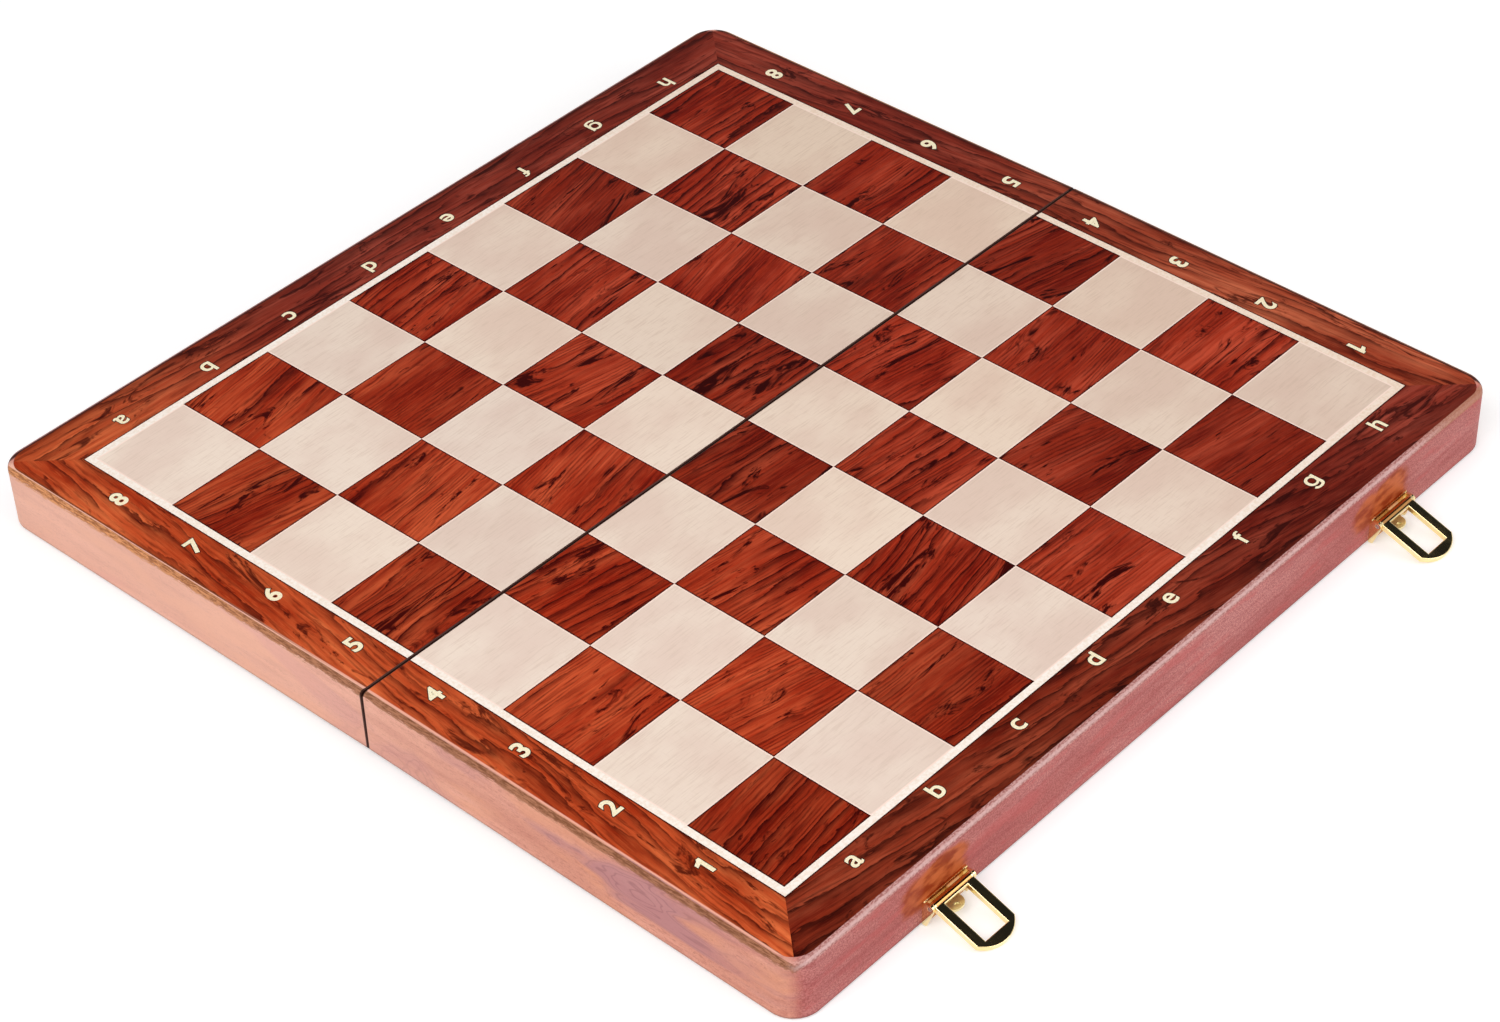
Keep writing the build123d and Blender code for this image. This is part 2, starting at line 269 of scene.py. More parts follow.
def square_pick(graph, x, depth, side):
    """Three random numbers that stay the same over each square."""
    file = graph.math("FLOOR", graph.math("DIVIDE", x, square))
    row = graph.math("FLOOR", graph.math("DIVIDE", depth, square))
    return graph.cells(graph.combine(file, graph.math("MULTIPLY", row, side), side))


# Widths and places of the fine lines, and of the highlights and shade painted at the edges, in the wood's colour
joint_width = 0.8 * MM
border_line_start = 0.2 * MM
border_line_end = 0.8 * MM
border_shade_width = 9 * MM
edge_highlight_start = 0.9 * MM
edge_highlight_end = 0.4 * MM
edge_soft = 0.8 * MM
lip_width = 3.0 * MM
lip_line_start = 1.2 * MM
lip_line_end = 0.4 * MM
far_side_start = 4 * MM
far_side_end = 3 * MM
glint_width = 0.6 * MM
tan_start = -1.0 * MM
tan_width = 9.0 * MM
tan_soft = 1.2 * MM
tan_stop = 1.8 * MM
tan_end = 2.2 * MM
fray = 6 * MM
corner_blend = 5 * MM
foot_start = 2.2 * MM
foot_end = 0.6 * MM
seam_line = 0.3 * MM
pore_depth = 0.05 * MM
fine_lines_per_line = 3.1


def figured_wood(graph, place, tones, lines=150, strength=1.0, calm=0.0):
    """Rosewood: long dark lines along the grain, soft fine lines between, smudges and fibres.

    A calm above 0 leaves the lines only here and there.
    """
    ground, bright, deep, line_tone = tones
    across = graph.separate(place)[1]
    # Waves from wide to ragged, which bend the lines
    wander = graph.noise(place, (9, 36, 9), detail=2, roughness=0.5)
    curl = graph.noise(place, (40, 170, 40), detail=3, roughness=0.6, distortion=0.5)
    ragged = graph.noise(place, (190, 1100, 190), detail=2, roughness=0.7)
    bend = graph.math("ADD", graph.math("MULTIPLY", wander, 4.5), curl)
    bend = graph.math("ADD", bend, graph.math("MULTIPLY", ragged, 0.22))
    # Broad lines, which grow dark towards one edge and show only where the gate lets them
    gate = graph.math("SUBTRACT", graph.noise(place, (16, 70, 16), detail=2), calm)
    gate = graph.ramp(gate, 0.34, 0.5, 0.25, 1.0)
    broad = graph.math("FRACT", graph.math("ADD", graph.math("MULTIPLY", across, lines), bend))
    edge = graph.ramp(broad, 0.93, 1.0, 1.0, 0.0)
    broad = graph.math("MULTIPLY", graph.math("POWER", broad, 2.6), edge)
    broad = graph.math("MULTIPLY", broad, gate)
    # Fine lines between them, and smudges
    fine = graph.math("MULTIPLY", across, fine_lines_per_line * lines)
    fine = graph.math("PINGPONG", graph.math("ADD", fine, graph.math("MULTIPLY", bend, 1.8)), 0.5)
    fine = graph.math("MULTIPLY", graph.ramp(fine, 0.1, 0.5), graph.ramp(curl, 0.4, 0.6, 0.1, 0.5))
    smudge = graph.noise(place, (30, 120, 30), detail=4, roughness=0.7, distortion=1.2)
    smudge = graph.ramp(smudge, 0.53, 0.66, 0.0, 0.85)
    # The ground from cloud, streaks and fibres
    cloud = graph.noise(place, (15, 60, 15), detail=3, roughness=0.6)
    fibres = graph.noise(place, (110, 2300, 110), detail=3, roughness=0.65)
    streaks = graph.noise(place, (26, 420, 26), detail=3, roughness=0.6)
    base = graph.mix(graph.ramp(cloud, 0.36, 0.64), deep, bright)
    base = graph.mix(graph.ramp(streaks, 0.38, 0.6, 0.8, 0.0), base, ground)
    base = graph.mix(graph.ramp(fibres, 0.5, 0.72, 0.0, 0.4), base, bright)
    dark = graph.math("MAXIMUM", graph.math("MAXIMUM", broad, fine), smudge)
    dark = graph.math("ADD", dark, graph.ramp(fibres, 0.3, 0.44, 0.25, 0.0))
    dark = graph.math("MULTIPLY", dark, 1.3 * strength, clamp=True)
    return graph.mix(dark, base, line_tone), fibres


def lacquer(graph, tone, relief, gloss=0.03, bump=0.1):
    """Satin lacquer over wood whose pores still show."""
    graph.set(Base_Color=tone, Roughness=0.5, Specular_IOR_Level=gloss)
    graph.set(Normal=graph.bump(relief, bump, pore_depth))


def joint_lines(graph, x, depth):
    """A line along every edge of the squares."""
    edges = []
    for value in (x, depth):
        share = graph.math("PINGPONG", value, square / 2)
        edges.append(graph.ramp(share, 0.25 * joint_width, joint_width, 0.9, 0.0))
    return graph.math("MAXIMUM", *edges)


# Wood tones, each as ground, bright, deep and line
# The right-hand tones are darker, partly as painted shade of the light from the left
SQUARES_LEFT = (colour(170, 50, 22), colour(204, 86, 48), colour(138, 28, 6), colour(66, 2, 0))
SQUARES_RIGHT = (colour(154, 42, 20), colour(184, 70, 46), colour(120, 22, 8), colour(50, 0, 0))
ORANGE_BROWN = (colour(196, 76, 36), colour(228, 112, 62), colour(168, 50, 16), colour(68, 6, 0))
RED_BROWN = (colour(136, 44, 22), colour(164, 70, 44), colour(108, 24, 8), colour(38, 2, 0))
WARM_BROWN = (colour(174, 74, 46), colour(204, 106, 72), colour(142, 48, 26), colour(60, 8, 2))
MAROON = (colour(134, 44, 30), colour(160, 68, 52), colour(104, 26, 16), colour(42, 2, 2))
DARK_LINE = colour(40, 6, 4)


def dark_veneer():
    """Each dark square is cut from its own place in the sheet and turned a little.

    The squares are more orange towards the a-file and darker towards the h-file: partly the veneer's own tone,
    partly painted shade of the light from the left.
    """
    graph = Graph("dark_veneer")
    x, depth, height, side = board_place(graph)
    pick = square_pick(graph, x, depth, side)
    first, second, third = graph.separate(pick)
    signed = graph.math("MULTIPLY", depth, side)
    angle = graph.math("MULTIPLY", graph.math("SUBTRACT", first, 0.5), 0.5)
    turned = graph.turn(graph.combine(x, signed, height), angle)
    place = graph.vector("ADD", turned, graph.vector("MULTIPLY", pick, (7, 7, 7)))
    # Painted shade with the veneer's own tone: darker and more maroon towards the h-file
    darker_to_h_file = graph.ramp(x, -4 * square, 1.5 * square)
    tones = [graph.mix(darker_to_h_file, left, right) for left, right in zip(SQUARES_LEFT, SQUARES_RIGHT)]
    calm = graph.ramp(third, 0.1, 0.9, 0.02, 0.24)
    tone, relief = figured_wood(graph, place, tones, lines=200, strength=0.95, calm=calm)
    tone = graph.shade(tone, graph.ramp(second, 0.0, 1.0, 0.84, 1.16))
    tone = graph.mix(joint_lines(graph, x, depth), tone, DARK_LINE)
    lacquer(graph, tone, relief)
    return graph.material


def light_veneer():
    """Pale maple with fine, almost even grain, paler at its edges, and painted shade that makes it darker and
    pinker towards the h-file.
    """
    graph = Graph("light_veneer")
    x, depth, height, side = board_place(graph)
    pick = square_pick(graph, x, depth, side)
    second, third = graph.separate(pick)[1:]
    signed = graph.math("MULTIPLY", depth, side)
    level = graph.combine(x, signed, height)
    place = graph.vector("ADD", level, graph.vector("MULTIPLY", pick, (5, 5, 5)))
    cloud = graph.noise(place, (26, 40, 26), detail=3)
    fibres = graph.noise(place, (120, 1500, 120), detail=2)
    rays = graph.noise(place, (1300, 150, 150), detail=2)
    tone = graph.mix(graph.ramp(cloud, 0.35, 0.65), colour(230, 206, 190), colour(239, 220, 203))
    tone = graph.mix(graph.ramp(fibres, 0.48, 0.72, 0.0, 0.5), tone, colour(216, 192, 174))
    tone = graph.mix(graph.ramp(rays, 0.5, 0.72, 0.0, 0.14), tone, colour(220, 196, 178))
    # Painted shade of the light from the left: darker and pinker towards the h-file
    shaded_to_h_file = graph.ramp(x, -4 * square, 4 * square)
    tone = graph.mix(shaded_to_h_file, tone, (0.92, 0.87, 0.82, 1), "MULTIPLY")
    tone = graph.mix(graph.math("MULTIPLY", third, 0.6), tone, (0.96, 0.98, 1.04, 1), "MULTIPLY")
    tone = graph.shade(tone, graph.ramp(second, 0.0, 1.0, 1.0, 1.05))
    tone = graph.mix(joint_lines(graph, x, depth), tone, colour(255, 228, 214))
    lacquer(graph, tone, fibres, bump=0.05)
    return graph.material


def stringing_wood():
    """Very pale holly strips with hardly any grain, and painted shade towards the h-file."""
    graph = Graph("stringing_wood")
    x, depth, height = board_place(graph)[:3]
    place = graph.combine(x, depth, height)
    fibres = graph.noise(place, (900, 900, 200), detail=3)
    tone = graph.mix(graph.ramp(fibres, 0.35, 0.7), colour(255, 244, 234), colour(246, 228, 212))
    # Painted shade of the light from the left: darker and pinker towards the h-file
    tone = graph.mix(graph.ramp(x, 0.0, 5 * square), tone, (0.92, 0.82, 0.74, 1), "MULTIPLY")
    lacquer(graph, tone, fibres, bump=0.05)
    return graph.material


def border_veneer(name, tones, far_tones, turn, along_x, slant, seed):
    """Border strips whose tones turn into the far ones along them, between two places in squares.

    The grain runs nearly along each strip, and a dark line stands at the stringing. The left strips carry a
    painted highlight along their outer edge, turning to a darker brown line towards the back.
    """
    graph = Graph(name)
    x, depth, height, side = board_place(graph)
    signed = graph.math("MULTIPLY", depth, side)
    angle = math.radians(slant) + (0 if along_x else math.pi / 2)
    turned = graph.turn(graph.combine(x, signed, height), angle)
    place = graph.vector("ADD", turned, (seed, seed * 1.7, 0))
    far = graph.ramp(x if along_x else signed, turn[0] * square, turn[1] * square)
    blend = [graph.mix(far, near_tone, far_tone) for near_tone, far_tone in zip(tones, far_tones)]
    tone, relief = figured_wood(graph, place, blend, strength=0.8)
    out = depth if along_x else graph.math("ABSOLUTE", x)
    outer = (half_depth if along_x else half_width) - edge_lip
    from_stringing = graph.math("SUBTRACT", out, stringing_edge)
    line = graph.ramp(from_stringing, border_line_start, border_line_end, 0.9, 0.0)
    tone = graph.mix(line, tone, DARK_LINE)
    if along_x:
        tone = graph.shade(tone, graph.ramp(out, outer - border_shade_width, outer, 1.0, 0.72))
    else:
        # A painted highlight along the left border's outer edge, turning to a dark brown line towards the back
        edge_highlight_and_shade = graph.ramp(out, outer - edge_highlight_start, outer - edge_highlight_end, 0.0, 0.9)
        edge_highlight_and_shade = graph.math("MULTIPLY", edge_highlight_and_shade, graph.ramp(x, -1 * MM, 1 * MM, 1.0, 0.0))
        back = graph.ramp(signed, 0.0, 2 * square)
        edge_tone = graph.mix(back, colour(246, 182, 158), colour(120, 62, 34))
        tone = graph.mix(edge_highlight_and_shade, tone, edge_tone)
    lacquer(graph, tone, relief)
    return graph.material


def face_wood(graph, place, tones, speckle):
    """Lacquered rail wood with soft streaks and fine pores, in four tones: its colour and relief."""
    pale, rosy, streaked, pored = [colour(*tone) for tone in tones]
    cloud = graph.noise(place, (11, 60, 60), detail=3)
    streak = graph.noise(place, (30, 340, 340), detail=3, roughness=0.6)
    pores = graph.ramp(graph.noise(place, (520, 2200, 2200), detail=1), 0.56, 0.7)
    grains = graph.noise(place, (1500, 1500, 1500), detail=2, roughness=0.7)
    tone = graph.mix(graph.ramp(cloud, 0.35, 0.65), rosy, pale)
    tone = graph.mix(graph.ramp(streak, 0.44, 0.7, 0.0, 0.6), tone, streaked)
    tone = graph.mix(graph.math("MULTIPLY", pores, 0.4), tone, pored)
    tone = graph.mix(graph.ramp(grains, 0.4, 0.62, 0.0, speckle), tone, pored)
    return tone, graph.math("SUBTRACT", streak, pores)


def long_rail_tone(graph, x, signed, height, over_edge, below):
    """The rank 1 and 8 rails: dusty rose, speckled, with a painted grey-pink sheen and glint on the rounded lip,
    and the latches' stains.
    """
    tones = (210, 140, 134), (192, 112, 106), (172, 88, 86), (146, 62, 62)
    place = graph.combine(x, signed, height)
    tone, relief = face_wood(graph, place, tones, 0.6)
    red = graph.ramp(graph.noise(place, (40, 160, 160), detail=4, roughness=0.7), 0.48, 0.64, 0.0, 0.5)
    tone = graph.mix(red, tone, colour(196, 90, 88))
    # A painted sheen on the rounded lip, grey-pink and tan towards the right end, and a painted glint along its
    # top
    grains = graph.noise(place, (900, 1800, 1800), detail=2)
    sheen_tone = graph.mix(graph.ramp(grains, 0.38, 0.62), colour(162, 108, 102), colour(206, 160, 154))
    sheen_tan_to_right = graph.ramp(x, 3.2 * square, 4.2 * square, 0.0, 0.8)
    sheen_tone = graph.mix(sheen_tan_to_right, sheen_tone, colour(176, 120, 88))
    lip = graph.band(over_edge, -edge_soft, lip_width, edge_soft)
    tone = graph.mix(graph.math("MULTIPLY", lip, 0.85), tone, sheen_tone)
    glint = graph.band(over_edge, 0.0, glint_width, edge_soft)
    glint = graph.math("MULTIPLY", glint, graph.ramp(x, 3 * square, 4 * square, 0.6, 0.1))
    tone = graph.mix(glint, tone, colour(220, 184, 180))
    return latch_stains(graph, tone, x, below), relief


def end_rail_tone(graph, x, signed, height, over_edge):
    """The side rails: salmon with orange and grey-mauve figure, with painted shade in olive brown on the rounded
    top edge, paler tan towards the back.
    """
    tones = (238, 172, 150), (220, 152, 130), (196, 120, 104), (168, 92, 80)
    place = graph.combine(signed, x, height)
    tone, relief = face_wood(graph, place, tones, 0.2)
    warm = graph.ramp(graph.noise(place, (22, 90, 90), detail=3), 0.46, 0.62, 0.0, 0.5)
    tone = graph.mix(warm, tone, colour(232, 160, 124))
    tone = graph.mix(graph.ramp(signed, -3 * square, 2 * square, 0.0, 0.5), tone, colour(255, 206, 184))
    swirl = graph.noise(graph.vector("ADD", place, (4.3, 0, 0)), (9, 34, 34), detail=3, distortion=0.8)
    patch = graph.ramp(swirl, 0.5, 0.6, 0.0, 0.8)
    near_corner = graph.band(signed, -3.4 * square, -2.2 * square, 0.8 * square)
    patch = graph.math("MULTIPLY", patch, graph.ramp(near_corner, 0.0, 1.0, 0.4, 1.0))
    far_half = graph.ramp(signed, -1 * square, 2 * square)
    mauve = graph.mix(far_half, colour(186, 130, 134), colour(230, 166, 166))
    tone = graph.mix(patch, tone, mauve)
    contour = graph.math("PINGPONG", graph.math("MULTIPLY", swirl, 30.0), 0.5)
    contour = graph.math("MULTIPLY", graph.ramp(contour, 0.0, 0.2, 0.6, 0.0), patch)
    contour = graph.math("MULTIPLY", contour, graph.ramp(signed, -1 * square, 1 * square, 1.0, 0.2))
    tone = graph.mix(contour, tone, colour(150, 96, 100))
    # Painted shade on the rounded top edge: olive brown at the front, tan towards the back
    grains = graph.noise(place, (260, 2000, 2000), detail=3, roughness=0.7)
    olive = graph.mix(graph.ramp(grains, 0.4, 0.6), colour(122, 74, 46), colour(172, 116, 86))
    tan = graph.mix(graph.ramp(grains, 0.4, 0.6), colour(152, 92, 52), colour(222, 152, 100))
    edge_tone = graph.mix(graph.ramp(signed, 0.0, 3 * square), olive, tan)
    frayed = graph.math("MULTIPLY", graph.math("SUBTRACT", grains, 0.5), fray)
    edge_highlight_and_shade = graph.band(graph.math("ADD", over_edge, frayed), tan_start, tan_width, tan_soft)
    edge_highlight_and_shade = graph.math("MULTIPLY", edge_highlight_and_shade, graph.ramp(over_edge, tan_stop, tan_end, 0.95, 0.0))
    return graph.mix(edge_highlight_and_shade, tone, edge_tone), relief


def rail_wood():
    """The solid rails, whose two woods meet softly round the corners of the board."""
    graph = Graph("rail_wood")
    x, depth, height, side = board_place(graph)
    signed = graph.math("MULTIPLY", depth, side)
    out_x = graph.math("SUBTRACT", half_width, graph.math("ABSOLUTE", x))
    out_y = graph.math("SUBTRACT", half_depth, depth)
    below = graph.math("SUBTRACT", surface_height, height)
    # How far in from the edge on top, and below 0 how far down the side
    over_edge = graph.math("SUBTRACT", graph.math("MINIMUM", out_x, out_y), below)
    long_tone, long_relief = long_rail_tone(graph, x, signed, height, over_edge, below)
    end_tone, end_relief = end_rail_tone(graph, x, signed, height, over_edge)
    share = graph.ramp(graph.math("SUBTRACT", out_y, out_x), -corner_blend, corner_blend)
    tone = graph.mix(share, long_tone, end_tone)
    relief = graph.mix(share, graph.combine(long_relief, 0, 0), graph.combine(end_relief, 0, 0))
    # A painted dark line of shade along the lip at the far right and far back edges
    lip = graph.ramp(over_edge, edge_lip - lip_line_start, edge_lip - lip_line_end)
    far_right = graph.ramp(x, half_width - far_side_start, half_width - far_side_end)
    far_back = graph.ramp(signed, half_depth - far_side_start, half_depth - far_side_end)
    lip = graph.math("MULTIPLY", lip, graph.math("MAXIMUM", far_right, far_back))
    tone = graph.mix(lip, tone, colour(66, 22, 14))
    # Painted shade along the bottom edge of the rails
    foot = graph.ramp(below, rail_height - foot_start, rail_height - foot_end, 1.0, 0.6)
    tone = graph.shade(tone, foot)
    # Painted shade in the seam: the rails are near black next to the gap between the halves
    seam = graph.ramp(depth, seam_edge, seam_edge + seam_line, 0.93, 0.0)
    tone = graph.mix(seam, tone, colour(40, 10, 7))
    lacquer(graph, tone, relief, gloss=0.12)
    return graph.material


# Lobes of a varnish stain in millimetres: across and down from the latch, half width, half height,
# and how strong the stain is
STAIN_LOBES = [
    (0.5, 7.5, 11.5, 5.8, 1.0),
    (-13.0, 11.0, 9.0, 8.0, 0.85),
    (0.0, 15.0, 12.0, 9.0, 1.0),
]


def latch_stains(graph, tone, x, below):
    """Blotches of warm orange varnish above and beside each latch."""
    place = graph.combine(x, below, 0.0)
    drift = graph.noise(place, (150, 150, 150), detail=3, roughness=0.6)
    drift = graph.math("SUBTRACT", drift, 0.5)
    mottle = graph.noise(place, (110, 260, 110), detail=3)
    stain = graph.mix(graph.ramp(mottle, 0.36, 0.64), colour(150, 54, 18), colour(200, 102, 54))
    for latch in latch_places:
        for across, down, wide, tall, strength in STAIN_LOBES:
            from_x = graph.math("DIVIDE", graph.math("SUBTRACT", x, latch + across * MM), wide * MM)
            from_z = graph.math("DIVIDE", graph.math("SUBTRACT", below, down * MM), tall * MM)
            away = graph.math("ADD", graph.math("POWER", from_x, 2.0), graph.math("POWER", from_z, 2.0))
            away = graph.math("ADD", graph.math("SQRT", away), graph.math("MULTIPLY", drift, 0.6))
            tone = graph.mix(graph.ramp(away, 0.75, 1.15, strength, 0.0), tone, stain)
    return tone


def core_board():
    """Thin plies on edge."""
    ply = 0.6 * MM
    graph = Graph("core_board")
    x, depth, height = board_place(graph)[:3]
    place = graph.combine(x, depth, height)
    layers = graph.math("PINGPONG", height, ply)
    fibres = graph.noise(place, (400, 400, 2000), detail=3)
    tone = graph.mix(graph.ramp(layers, 0.0, ply), colour(176, 142, 100), colour(206, 176, 132))
    tone = graph.mix(graph.ramp(fibres, 0.4, 0.7, 0.0, 0.5), tone, colour(150, 116, 80))
    graph.set(Base_Color=tone, Roughness=0.75, Normal=graph.bump(fibres, 0.3, 0.1 * MM))
    return graph.material


# Metal tones, as linear colours
PALE_GOLD = (0.97, 0.8, 0.46, 1)
WARM_GOLD = (0.93, 0.72, 0.35, 1)
SATIN_GOLD = (0.9, 0.82, 0.5, 1)
# A painted reflection of the orange wood, for the barrels between the latch ears
REFLECTED_ORANGE = (0.62, 0.25, 0.06, 1)
BRIGHT_BRASS = (0.85, 0.56, 0.2, 1)
DULL_BRASS = (0.62, 0.38, 0.13, 1)
DARK_STEEL = (0.55, 0.54, 0.52, 1)
BRIGHT_STEEL = (0.7, 0.69, 0.67, 1)


def polished_brass():
    """Pale gold plating with faint polishing lines.

    It has a painted orange reflection of the stained wood between the ears of a latch, and is satin on the tongue.
    """
    graph = Graph("polished_brass")
    x, depth, height = board_place(graph)[:3]
    place = graph.place()
    smear = graph.noise(place, (160, 160, 160), detail=3)
    lines = graph.noise(place, (300, 3000, 3000), detail=2)
    tone = graph.mix(graph.ramp(smear, 0.35, 0.7), PALE_GOLD, WARM_GOLD)
    gloss = graph.ramp(smear, 0.3, 0.75, 0.06, 0.16)
    out = graph.math("SUBTRACT", depth, half_depth)
    near_ears = 0.0
    near_tongue = 0.0
    for latch in latch_places:
        across = graph.math("SUBTRACT", x, latch)
        ears = graph.band(across, -ear_half_span, ear_half_span, 0.5 * MM)
        tongue = graph.band(across, -tongue_half_width, tongue_half_width, 0.3 * MM)
        near_ears = graph.math("MAXIMUM", near_ears, ears)
        near_tongue = graph.math("MAXIMUM", near_tongue, tongue)
    low = graph.ramp(height, tongue_top, tongue_top + 0.3 * MM, 1.0, 0.0)
    on_tongue = graph.math("MULTIPLY", graph.band(out, tongue_start, tongue_end, 0.3 * MM), near_tongue)
    satin = graph.math("MULTIPLY", on_tongue, low)
    # Painted reflection of the orange wood on the barrel between the ears
    painted_reflection = graph.math("MULTIPLY", graph.band(out, -1 * MM, ear_reach, 0.6 * MM), near_ears)
    tone = graph.mix(graph.math("MULTIPLY", painted_reflection, 0.85), tone, REFLECTED_ORANGE)
    tone = graph.mix(satin, tone, SATIN_GOLD)
    gloss = graph.math("ADD", gloss, graph.math("MULTIPLY", satin, 0.4))
    normal = graph.bump(lines, 0.05, 0.03 * MM, graph.soft_edges(0.25 * MM))
    graph.set(Base_Color=tone, Metallic=1.0, Roughness=gloss, Normal=normal)
    return graph.material


def screw_brass():
    """Duller brass, worn in the slots."""
    graph = Graph("screw_brass")
    place = graph.place()
    wear = graph.noise(place, (700, 700, 700), detail=3)
    tone = graph.mix(graph.ramp(wear, 0.35, 0.7), BRIGHT_BRASS, DULL_BRASS)
    roughness = graph.ramp(wear, 0.3, 0.7, 0.2, 0.38)
    graph.set(Base_Color=tone, Metallic=1.0, Roughness=roughness, Normal=graph.soft_edges(0.15 * MM))
    return graph.material


def pin_steel():
    """Drawn steel wire."""
    graph = Graph("pin_steel")
    place = graph.place()
    lines = graph.noise(place, (300, 5000, 5000), detail=2)
    tone = graph.mix(lines, DARK_STEEL, BRIGHT_STEEL)
    roughness = graph.ramp(lines, 0.3, 0.7, 0.22, 0.36)
    graph.set(Base_Color=tone, Metallic=1.0, Roughness=roughness, Normal=graph.soft_edges(0.1 * MM))
    return graph.material


def letter_foil():
    """Cream printing foil, a little uneven."""
    graph = Graph("letter_foil")
    place = graph.place()
    mottle = graph.noise(place, (2500, 2500, 2500), detail=2)
    tone = graph.mix(graph.ramp(mottle, 0.35, 0.65), colour(255, 247, 218), colour(244, 226, 184))
    graph.set(Base_Color=tone, Roughness=0.5, Specular_IOR_Level=0.15)
    return graph.material


def letter_edge():
    """A thin dark outline round each letter."""
    graph = Graph("letter_edge")
    place = graph.place()
    mottle = graph.noise(place, (1800, 1800, 1800), detail=2)
    tone = graph.mix(mottle, colour(48, 12, 6), colour(68, 20, 10))
    graph.set(Base_Color=tone, Roughness=0.6, Specular_IOR_Level=0.1)
    return graph.material


def cloth(name, dark, pale, pile):
    """Felt or flock: short matted fibres with a soft sheen."""
    graph = Graph(name)
    place = graph.place()
    matting = graph.noise(place, (pile, pile, pile), detail=4, roughness=0.7)
    blotch = graph.noise(place, (90, 90, 90), detail=2)
    tone = graph.mix(graph.ramp(matting, 0.3, 0.7), dark, pale)
    tone = graph.mix(graph.ramp(blotch, 0.4, 0.7, 0.0, 0.3), tone, dark)
    graph.set(Base_Color=tone, Roughness=0.95, Specular_IOR_Level=0.15)
    graph.set(Sheen_Weight=0.35, Sheen_Roughness=0.5)
    graph.set(Normal=graph.bump(matting, 0.6, 0.3 * MM))
    return graph.material


def dress(node, material):
    """Gives a CAD node its material."""
    made = nodes[node]
    made.data.materials.clear()
    made.data.materials.append(material)


def add_object(name, mesh, material, body):
    """Adds a new piece that rides on a body."""
    piece = bpy.data.objects.new(name, mesh)
    bpy.context.scene.collection.objects.link(piece)
    mesh.materials.clear()
    mesh.materials.append(material)
    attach(piece, body)
    return piece


def mesh_of_curve(curve):
    """The mesh of a curve or text, with the holder removed again."""
    holder = bpy.data.objects.new("holder", curve)
    bpy.context.scene.collection.objects.link(holder)
    bpy.context.view_layer.update()
    mesh = bpy.data.meshes.new_from_object(holder)
    bpy.data.objects.remove(holder)
    return mesh


def add_outline(curve, points):
    """A closed outline of straight stretches."""
    spline = curve.splines.new("POLY")
    spline.points.add(len(points) - 1)
    for point, (x, y) in zip(spline.points, points):
        point.co = (x, y, 0, 1)
    spline.use_cyclic_u = True


def flat_curve(name):
    """A curve whose closed outlines are filled."""
    curve = bpy.data.curves.new(name, "CURVE")
    curve.dimensions = "2D"
    curve.fill_mode = "BOTH"
    return curve


# Letters and numbers. The g of this type has one bowl, as the font's phonetic sign has
single_g = "\u0261"
LETTERS = "abcdef" + single_g + "h"
letter_size = 11.4 * MM
letter_weight = 0.18 * MM
small_height = 4.95 * MM
tall_height = 6.6 * MM
number_size = 10.4 * MM
number_weight = 0.3 * MM
number_middle = 0.345
outline_width = 0.32 * MM
foil_thickness = 0.04 * MM
outline_thickness = 0.02 * MM

# Heights of small and tall letters in Blender's font, and of its one odd letter, in type sizes
plain_small_height = 0.449
plain_tall_height = 0.686
own_small_height = {single_g: 0.55}

# A one with a flag, as corners in units of the type size
ONE = [
    (0.15, 0.0), (0.25, 0.0), (0.25, 0.70), (0.17, 0.70), (0.12, 0.63),
    (-0.03, 0.56), (-0.03, 0.46), (0.15, 0.53),
]

# Each row's signs, first place and step in squares, and its distance out from the stringing
ROWS = [
    ("front_letters", LETTERS, -3.45, 0.988, 8.6 * MM),
    ("back_letters", LETTERS, -3.5, 1.0, 10.1 * MM),
    ("front_left_numbers", "4321", 0.452, 0.981, 7.0 * MM),
    ("front_right_numbers", "4321", 0.474, 0.989, 8.0 * MM),
    ("back_left_numbers", "5678", 0.474, 0.981, 7.1 * MM),
    ("back_right_numbers", "5678", 0.512, 1.0, 9.0 * MM),
]


def sign_curve(sign):
    """A letter or number as a curve whose unit is the type size."""
    if sign != "1":
        curve = bpy.data.curves.new("sign", "FONT")
        curve.body = sign
        curve.size = 1.0
        curve.resolution_u = 6
        return curve
    curve = flat_curve("sign")
    add_outline(curve, ONE)
    return curve


def type_height(sign, y):
    """Where a height of Blender's letter lies in this type, whose small letters are taller."""
    small = own_small_height.get(sign, plain_small_height)
    if y <= small:
        return y * small_height / small
    return small_height + (y - small) * (tall_height - small_height) / (plain_tall_height - small)


def sign_mesh(sign, weight, thickness):
    """One sign, fattened by a weight, filled and a little thick.

    A letter stands on its line, and a number lies about its middle.
    """
    numbered = sign.isdigit()
    size = number_size if numbered else letter_size
    curve = sign_curve(sign)
    curve.offset = weight / size
    curve.extrude = thickness / size / 2
    mesh = mesh_of_curve(curve)
    across = [vertex.co.x for vertex in mesh.vertices]
    middle = (min(across) + max(across)) / 2
    for vertex in mesh.vertices:
        x, y, z = vertex.co
        high = (y - number_middle) * size if numbered else type_height(sign, y)
        vertex.co = ((x - middle) * size, high, z * size)
    return mesh


def sign_place(title, first, step, distance, index):
    """Where a row's sign goes, as x and signed depth."""
    half, kind = title.split("_", 1)
    along = (first + step * index) * square
    if kind == "letters":
        return along, SIDES[half] * (stringing_edge + distance)
    side = -1 if kind.startswith("left") else 1
    return side * (stringing_edge + distance), SIDES[half] * along


